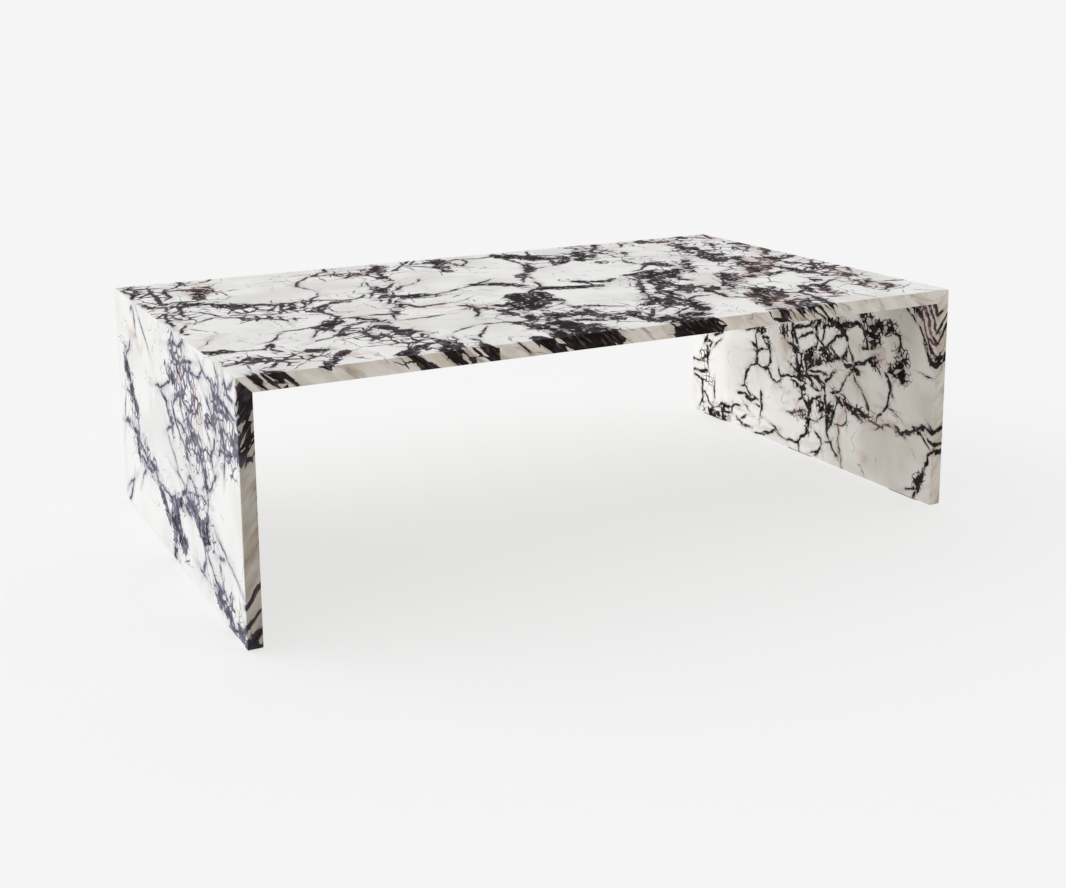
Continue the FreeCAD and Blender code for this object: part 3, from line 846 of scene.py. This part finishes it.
# Right leg
# The third slab of the block, sawn and honed like the left one, and glued and pinned to the top along its
# mitre. It is warmer, with angular white stone in a black matrix on its inner face.
right_low, right_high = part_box("right_leg_slab")
RIGHT_VEINS = [
    (6, (172, 127), (205, 120), (228, 113)),
    (9, (208, 126), (226, 119)),
    (8, (226, 132), (238, 147)),
    (5, (202, 130), (203, 160), (204, 186)),
    (5, (190, 153), (202, 157)),
    (3, (205, 162), (225, 157), (238, 153)),
    (5, (240, 148), (243, 166), (239, 184)),
    (5, (202, 187), (222, 194), (238, 191)),
    (4, (203, 189), (184, 196), (172, 210), (167, 230)),
    (4, (158, 234), (168, 230), (180, 247)),
    (6, (149, 252), (164, 246), (178, 251)),
    (6, (170, 254), (184, 257), (198, 251)),
    (3, (190, 246), (207, 250)),
    (6, (216, 245), (222, 263)),
    (4, (221, 262), (217, 286)),
    (3, (203, 263), (215, 264)),
    (3, (169, 270), (182, 278)),
    (5, (159, 299), (173, 291)),
    (5, (149, 304), (164, 312), (184, 310)),
    (6, (6, 241), (28, 236), (46, 231)),
    (5, (10, 251), (30, 254), (34, 268)),
    (4, (34, 268), (34, 290), (25, 308)),
    (4, (3, 219), (30, 214), (44, 203)),
    (5, (46, 188), (46, 212), (48, 228)),
    (6, (37, 180), (44, 167)),
    (4, (42, 172), (60, 178), (55, 187)),
    (5, (68, 161), (87, 156), (99, 149)),
    (4, (70, 183), (87, 171)),
    (3, (38, 279), (60, 296), (71, 300), (96, 290), (131, 284), (157, 275)),
    (4, (131, 285), (127, 298), (110, 298), (103, 289)),
    (10, (56, 313), (88, 315)),
    (7, (98, 315), (124, 307)),
    (4, (68, 298), (70, 312)),
    (4, (70, 258), (70, 279)),
    (5, (203, 319), (224, 312), (246, 306), (263, 297)),
    (3, (247, 287), (269, 297)),
    (2, (266, 300), (300, 302), (322, 299)),
    (3, (237, 193), (246, 206), (262, 212), (273, 203), (272, 195)),
    (4, (267, 182), (271, 197), (288, 192), (308, 189)),
    (6, (443, 136), (460, 134), (478, 126), (493, 120), (510, 115)),
    (5, (438, 79), (456, 68), (471, 65), (486, 71)),
    (6, (483, 69), (492, 84), (497, 101), (483, 101)),
    (13, (483, 46), (500, 56), (512, 68)),
    (10, (508, 67), (530, 60), (547, 57)),
    (4, (544, 64), (569, 66)),
    (11, (498, 71), (512, 80), (521, 92)),
    (8, (494, 97), (514, 96)),
    (8, (503, 109), (521, 114), (511, 123)),
    (5, (523, 129), (529, 137)),
    (4, (568, 66), (572, 80), (566, 93)),
    (9, (565, 92), (575, 106)),
    (14, (580, 103), (571, 124), (586, 133)),
    (9, (554, 126), (568, 137)),
    (6, (538, 133), (550, 142), (557, 162)),
    (4, (555, 158), (548, 174), (546, 188)),
    (5, (547, 185), (534, 198), (525, 212)),
    (2, (544, 190), (560, 190), (575, 199)),
    (3, (465, 149), (470, 164), (482, 172), (497, 190)),
    (6, (495, 187), (505, 202)),
    (4, (502, 209), (488, 215)),
    (8, (454, 206), (478, 214), (503, 212)),
    (4, (477, 217), (506, 213)),
    (4, (398, 238), (402, 262), (410, 276), (421, 290), (430, 299)),
    (3, (395, 283), (409, 278)),
    (5, (352, 222), (356, 236), (352, 264)),
    (7, (351, 250), (352, 267)),
    (5, (352, 262), (346, 278), (332, 290), (326, 302), (330, 320)),
    (3, (375, 271), (386, 280), (388, 292), (378, 304), (362, 311)),
    (4, (432, 246), (432, 264)),
    (2, (432, 264), (434, 290), (440, 314)),
    (2, (504, 219), (520, 222), (531, 224), (548, 216), (563, 221)),
    (5, (559, 214), (578, 222), (600, 214), (612, 204), (632, 200), (654, 204)),
    (5, (605, 207), (622, 212), (642, 227)),
    (6, (653, 227), (640, 238), (634, 262), (625, 282)),
    (7, (626, 277), (621, 294)),
    (4, (624, 295), (602, 305)),
    (5, (621, 299), (615, 314)),
    (4, (576, 15), (592, 26), (605, 37)),
    (7, (603, 8), (613, 23)),
    (5, (618, -6), (630, 22), (641, 48), (652, 62), (668, 50)),
    (5, (629, -8), (640, 18), (652, 42), (666, 34)),
    (6, (640, -8), (650, 16), (662, 18)),
    (5, (607, -2), (621, 28), (633, 62), (646, 84), (662, 92)),
    (6, (611, 39), (622, 54), (630, 76), (640, 92), (653, 99)),
    (6, (635, 55), (648, 63)),
    (3, (627, 114), (645, 114)),
    (7, (652, 86), (670, 100)),
    (6, (644, 196), (668, 214)),
    (6, (640, 214), (668, 236)),
    (5, (648, 232), (668, 250)),
    (7, (279, 100), (280, 122)),
    (5, (302, 94), (304, 122)),
    (7, (286, 127), (306, 134), (324, 142)),
    (5, (310, 112), (318, 130), (322, 143)),
    (6, (308, 100), (330, 96), (352, 90)),
    (7, (352, 86), (382, 77)),
    (5, (320, 117), (335, 110), (358, 101)),
    (6, (362, 100), (370, 115), (369, 124)),
    (6, (370, 124), (356, 136), (345, 146)),
    (9, (350, 147), (372, 143)),
    (9, (380, 141), (408, 135)),
    (6, (408, 134), (434, 128)),
    (5, (372, 112), (390, 119), (406, 125)),
    (5, (376, 130), (392, 120), (408, 112)),
    (5, (405, 113), (418, 97)),
    (6, (418, 96), (436, 86), (446, 100)),
    (5, (408, 117), (430, 130), (443, 116)),
    (6, (366, 84), (368, 104), (374, 114)),
    (5, (384, 80), (389, 96), (382, 112)),
    (9, (390, 78), (412, 72)),
    (9, (416, 72), (438, 68)),
    (6, (438, 70), (456, 66), (471, 65), (486, 71)),
    (4, (446, 99), (456, 116), (463, 132)),
    (4, (446, 106), (443, 119)),
    (10, (312, 178), (330, 192)),
    (8, (318, 166), (326, 180)),
    (7, (312, 198), (326, 203)),
    (5, (320, 144), (322, 168)),
    (5, (346, 150), (344, 176)),
    (5, (346, 170), (362, 160), (382, 152)),
    (6, (340, 182), (368, 178), (390, 183)),
    (4, (390, 182), (406, 170), (418, 156)),
    (4, (358, 184), (362, 196), (382, 199), (386, 186)),
    (5, (332, 202), (333, 218), (350, 237)),
    (4, (324, 229), (333, 222)),
    (4, (380, 206), (366, 218), (352, 226)),
    (5, (352, 222), (354, 240), (352, 262)),
    (7, (351, 252), (352, 266)),
    (7, (382, 216), (384, 238)),
    (4, (352, 254), (372, 252), (384, 242)),
    (6, (388, 186), (392, 200), (390, 212)),
    (8, (404, 217), (410, 236)),
    (4, (393, 210), (400, 232), (402, 260)),
    (6, (412, 192), (430, 184)),
    (7, (416, 194), (434, 204), (450, 208)),
    (3, (428, 186), (446, 194), (452, 204)),
    (5, (450, 206), (470, 214), (484, 222)),
    (5, (455, 204), (480, 210), (505, 212)),
    (4, (423, 214), (414, 240), (405, 256)),
    (5, (443, 136), (458, 135), (478, 127)),
    (6, (456, 138), (474, 141), (474, 148)),
    (3, (459, 145), (450, 152), (440, 168), (429, 185)),
    (3, (466, 148), (470, 164), (482, 172), (497, 190)),
    (3, (300, 252), (318, 250)),
    (7, (322, 250), (346, 247)),
    (4, (446, 212), (454, 224), (454, 238), (440, 244), (427, 246)),
    (6, (275, 99), (283, 126)),
    (5, (286, 98), (290, 122)),
    (6, (288, 128), (308, 135), (324, 145)),
    (6, (306, 170), (330, 186)),
    (6, (308, 187), (336, 193)),
    (5, (312, 198), (332, 203)),
    (5, (352, 153), (390, 147)),
    (4, (352, 172), (388, 167)),
    (5, (346, 176), (360, 187)),
    (4, (376, 181), (389, 192)),
    (4, (330, 150), (335, 168)),
    (5, (346, 136), (372, 130), (392, 126)),
    (6, (4, 22), (34, 36), (58, 34), (84, 48)),
    (5, (58, 34), (66, 60), (54, 84), (62, 112)),
    (8, (84, 48), (106, 54), (118, 70)),
    (4, (118, 70), (142, 74), (158, 90)),
    (5, (104, 6), (112, 28), (106, 54)),
    (4, (142, 74), (168, 60), (196, 58), (222, 62)),
    (7, (222, 62), (242, 54)),
    (4, (242, 54), (262, 38), (288, 34), (312, 44)),
    (5, (188, 4), (202, 28), (196, 58)),
    (4, (288, 34), (296, 12), (312, -4)),
    (3, (196, 58), (204, 78), (200, 92)),
    (8, (14, 56), (24, 76)),
    (4, (24, 76), (30, 104), (54, 110)),
    (4, (24, 76), (4, 92)),
    (3, (62, 112), (88, 118), (104, 108)),
    (6, (330, 4), (340, 20), (356, 28)),
    (4, (356, 28), (384, 20), (412, 4)),
    (7, (384, 20), (394, 30)),
    (4, (444, -2), (462, 8), (490, 4)),
]
RIGHT_CROWDS = [
    (12, (212, 120), (232, 148)),
    (8, (312, 150), (330, 200)),
    (8, (400, 72), (430, 78)),
    (8, (360, 150), (400, 140)),
    (14, (500, 60), (515, 110)),
    (10, (20, 200), (50, 240)),
    (12, (60, 310), (110, 310)),
    (12, (80, 46), (120, 70)),
    (10, (226, 60), (250, 52)),
    (10, (10, 50), (28, 80)),
]
RIGHT_STAINS = [
    (20, (625, 15), (655, 60)),
    (14, (520, 100), (545, 110)),
    (10, (451, 213), (430, 246)),
    (8, (430, 250), (438, 310)),
    (8, (300, 250), (337, 246)),
    (8, (470, 160), (498, 190)),
    (12, (500, 218), (562, 220)),
    (10, (184, 16), (202, 48)),
    (13, (280, 128), (290, 166)),
    (10, (488, 280), (500, 288)),
]
dress("right_leg_slab", breccia_marble(
    "honed_breccia_marble_right",
    corner=(right_low[0], right_high[1], top_low[2]),
    axes=((MM, -MM, 0), (0.9 * MM, 0, -MM)),
    streaks=(1 / 16, 1 / 6, 0),
    veins=RIGHT_VEINS,
    crowds=RIGHT_CROWDS,
    stains=RIGHT_STAINS,
    shard=9,
    seam=2.6,
    slim=0.55,
    fill=0.75,
    lace=0.6,
    web=0.0,
    mist=6,
    # Painted shade: this leg's face greys towards its front end
    painted_front_shade=0.65,
    body="#fbfaf8",
    cloud="#cdc8bf",
    sawn_tone_and_shade=("#e6e0d6", "#cec2b2"),
    bloom="#a2978f",
    rim="#3d3236",
    core="#120e10",
))

# Mitre pins
# Four stainless bars cross each mitre, drilled in square to the joint and set in adhesive, so that the
# glued stone can carry the top. They are hidden once the joint is closed.
for side, lean in (("left", 1), ("right", -1)):
    bar = bpy.data.materials.new(f"drawn_stainless_steel_{side}")
    bar.use_nodes = True
    bar_tree = bar.node_tree
    bar_place = add(bar_tree, "TexCoord", output="Object")
    # Drawing leaves bright lines along the bar, 30 mm long and 0.2 mm apart
    half = math.sqrt(0.5)
    spans = [
        add(bar_tree, "VectorMath", {0: bar_place, 1: axis}, operation="DOT_PRODUCT")
        for axis in (
            (lean * half * MM / 30, 0, half * MM / 30),
            (0, MM / 0.2, 0),
            (-lean * half * MM / 0.2, 0, half * MM / 0.2),
        )
    ]
    drawn = add(bar_tree, "CombineXYZ", dict(zip("XYZ", spans)))
    scratches = add(bar_tree, "TexNoise", {"Vector": drawn, "Scale": 1.0, "Detail": 2})
    steel = add(bar_tree, "Mix", {
        "Factor": scratches, "A": linear("#b4b4b6"), "B": linear("#d6d6d6"),
    }, data_type="RGBA")
    sheen = add(bar_tree, "MapRange", {"Value": scratches, "To Min": 0.2, "To Max": 0.45})
    bar_shader = bar_tree.nodes["Principled BSDF"]
    bar_shader.inputs["Metallic"].default_value = 1.0
    bar_tree.links.new(steel, bar_shader.inputs["Base Color"])
    bar_tree.links.new(sheen, bar_shader.inputs["Roughness"])
    dress(f"{side}_mitre_pins", bar)

# Mitre adhesive
# Stone epoxy, filled with marble dust and tinted to the slabs, spread in each mitre and rubbed down flush
# once it has cured. It shows as a thin matt line where the veins stop.
epoxy = bpy.data.materials.new("dust_filled_stone_epoxy")
epoxy.use_nodes = True
epoxy_tree = epoxy.node_tree
epoxy_place = add(epoxy_tree, "TexCoord", output="Object")
# Marble dust gives a pale speckle, drawn 1.2 mm coarse so that it shows, and the resin yellows in patches
dust = add(epoxy_tree, "TexNoise", {"Vector": epoxy_place, "Scale": MM / 1.2, "Detail": 2})
aged = add(epoxy_tree, "TexNoise", {"Vector": epoxy_place, "Scale": MM / 25, "Detail": 3})
binder = add(epoxy_tree, "Mix", {
    "Factor": aged, "A": linear("#cfcac2"), "B": linear("#b8ab98"),
}, data_type="RGBA")
specks = add(epoxy_tree, "MapRange", {"Value": dust, "From Min": 0.5, "From Max": 0.65})
filled = add(epoxy_tree, "Mix", {
    "Factor": specks, "A": binder, "B": linear("#e2ddd4"),
}, data_type="RGBA")
rubbed = add(epoxy_tree, "MapRange", {"Value": dust, "To Min": 0.4, "To Max": 0.65})
epoxy_shader = epoxy_tree.nodes["Principled BSDF"]
epoxy_shader.inputs["Specular IOR Level"].default_value = 0.3
epoxy_tree.links.new(filled, epoxy_shader.inputs["Base Color"])
epoxy_tree.links.new(rubbed, epoxy_shader.inputs["Roughness"])
for side in ("left", "right"):
    dress(f"{side}_mitre_adhesive", epoxy)

# Foot pads
# Three strips of grey rubber under each leg, die-cut with round ends and stuck to the sawn stone, so that
# the slab doesn't stand on the bare floor.
rubber = bpy.data.materials.new("die_cut_rubber")
rubber.use_nodes = True
rubber_tree = rubber.node_tree
rubber_place = add(rubber_tree, "TexCoord", output="Object")
# Sheet rubber is dull, with a fine pebble of 0.8 mm and chalky talc left in patches
pebble = add(rubber_tree, "TexVoronoi", {"Vector": rubber_place, "Scale": MM / 0.8})
talc = add(rubber_tree, "TexNoise", {"Vector": rubber_place, "Scale": MM / 12, "Detail": 4})
chalky = add(rubber_tree, "MapRange", {"Value": talc, "From Min": 0.5, "From Max": 0.75})
grey = add(rubber_tree, "Mix", {
    "Factor": chalky, "A": linear("#343435"), "B": linear("#565654"),
}, data_type="RGBA")
matt = add(rubber_tree, "MapRange", {"Value": talc, "To Min": 0.75, "To Max": 0.95})
pebbled = add(rubber_tree, "Bump", {"Height": pebble, "Strength": 0.5, "Distance": 0.0001})
rubber_shader = rubber_tree.nodes["Principled BSDF"]
rubber_tree.links.new(grey, rubber_shader.inputs["Base Color"])
rubber_tree.links.new(matt, rubber_shader.inputs["Roughness"])
rubber_tree.links.new(pebbled, rubber_shader.inputs["Normal"])
for side in ("left", "right"):
    for place in ("front", "middle", "back"):
        dress(f"{side}_{place}_foot_pad", rubber)

# Studio
# A sheet of white acrylic, lit from behind and laid out to the horizon, under an even white dome that is
# unlit behind the camera. A wide soft lamp stands to the left and behind.
FLOOR = 200.0
floor_corners = [(-FLOOR, -FLOOR, 0), (FLOOR, -FLOOR, 0), (FLOOR, FLOOR, 0), (-FLOOR, FLOOR, 0)]
floor_mesh = bpy.data.meshes.new("floor")
floor_mesh.from_pydata(floor_corners, [], [(0, 1, 2, 3)])
floor = bpy.data.objects.new("floor", floor_mesh)
bpy.context.collection.objects.link(floor)
# Opal acrylic glows evenly and has no gloss, so that only the table's soft shadow shows on it
acrylic = bpy.data.materials.new("backlit_white_acrylic")
acrylic.use_nodes = True
acrylic_shader = acrylic.node_tree.nodes["Principled BSDF"]
acrylic_shader.inputs["Base Color"].default_value = linear("#909090")
acrylic_shader.inputs["Roughness"].default_value = 1.0
acrylic_shader.inputs["Specular IOR Level"].default_value = 0.0
acrylic_shader.inputs["Emission Color"].default_value = linear("#ffffff")
acrylic_shader.inputs["Emission Strength"].default_value = 0.656
floor_mesh.materials.append(acrylic)

world = bpy.data.worlds.new("studio_dome")
bpy.context.scene.world = world
world.use_nodes = True
dome = world.node_tree
toward = add(dome, "TexCoord")
behind_camera = add(dome, "VectorMath", {0: toward, 1: (0, -1, 0)}, operation="DOT_PRODUCT")
unlit = add(dome, "MapRange", {
    "Value": behind_camera, "From Min": 0.4, "From Max": 0.75,
}, interpolation_type="SMOOTHSTEP")
sky = add(dome, "Mix", {
    "Factor": unlit, "A": linear("#f5f5f5"), "B": linear("#665f57"),
}, data_type="RGBA")
dome.links.new(sky, dome.nodes["Background"].inputs["Color"])

lamp = bpy.data.lights.new("window_light", "SUN")
lamp.energy = 1.2
lamp.angle = math.radians(50)
window = bpy.data.objects.new("window_light", lamp)
LIGHT_RUNS = Vector((0.65, -0.55, -0.35))
window.rotation_euler = LIGHT_RUNS.to_track_quat("-Z", "Y").to_euler()
bpy.context.collection.objects.link(window)

# Camera
# It stands to the left of the front, a little above the tabletop, as the photograph was taken. The lens is
# shifted down, so that the upright edges stay nearly parallel.
lens = bpy.data.cameras.new("camera")
lens.sensor_width = 36.0
lens.lens = 48.74
lens.shift_y = -0.15
camera = bpy.data.objects.new("camera", lens)
bpy.context.collection.objects.link(camera)
camera.location = (-1.0012, -1.9233, 0.7498)
YAW, PITCH, ROLL = 27.783, -10.527, -0.427
yaw, pitch, roll = (math.radians(angle) for angle in (YAW, PITCH, ROLL))
sight = Vector((math.sin(yaw) * math.cos(pitch), math.cos(yaw) * math.cos(pitch), math.sin(pitch)))
level = sight.to_track_quat("-Z", "Y")
camera.rotation_euler = (level @ Quaternion((0, 0, 1), roll)).to_euler()
bpy.context.scene.camera = camera

bpy.context.scene.view_settings.view_transform = "Standard"
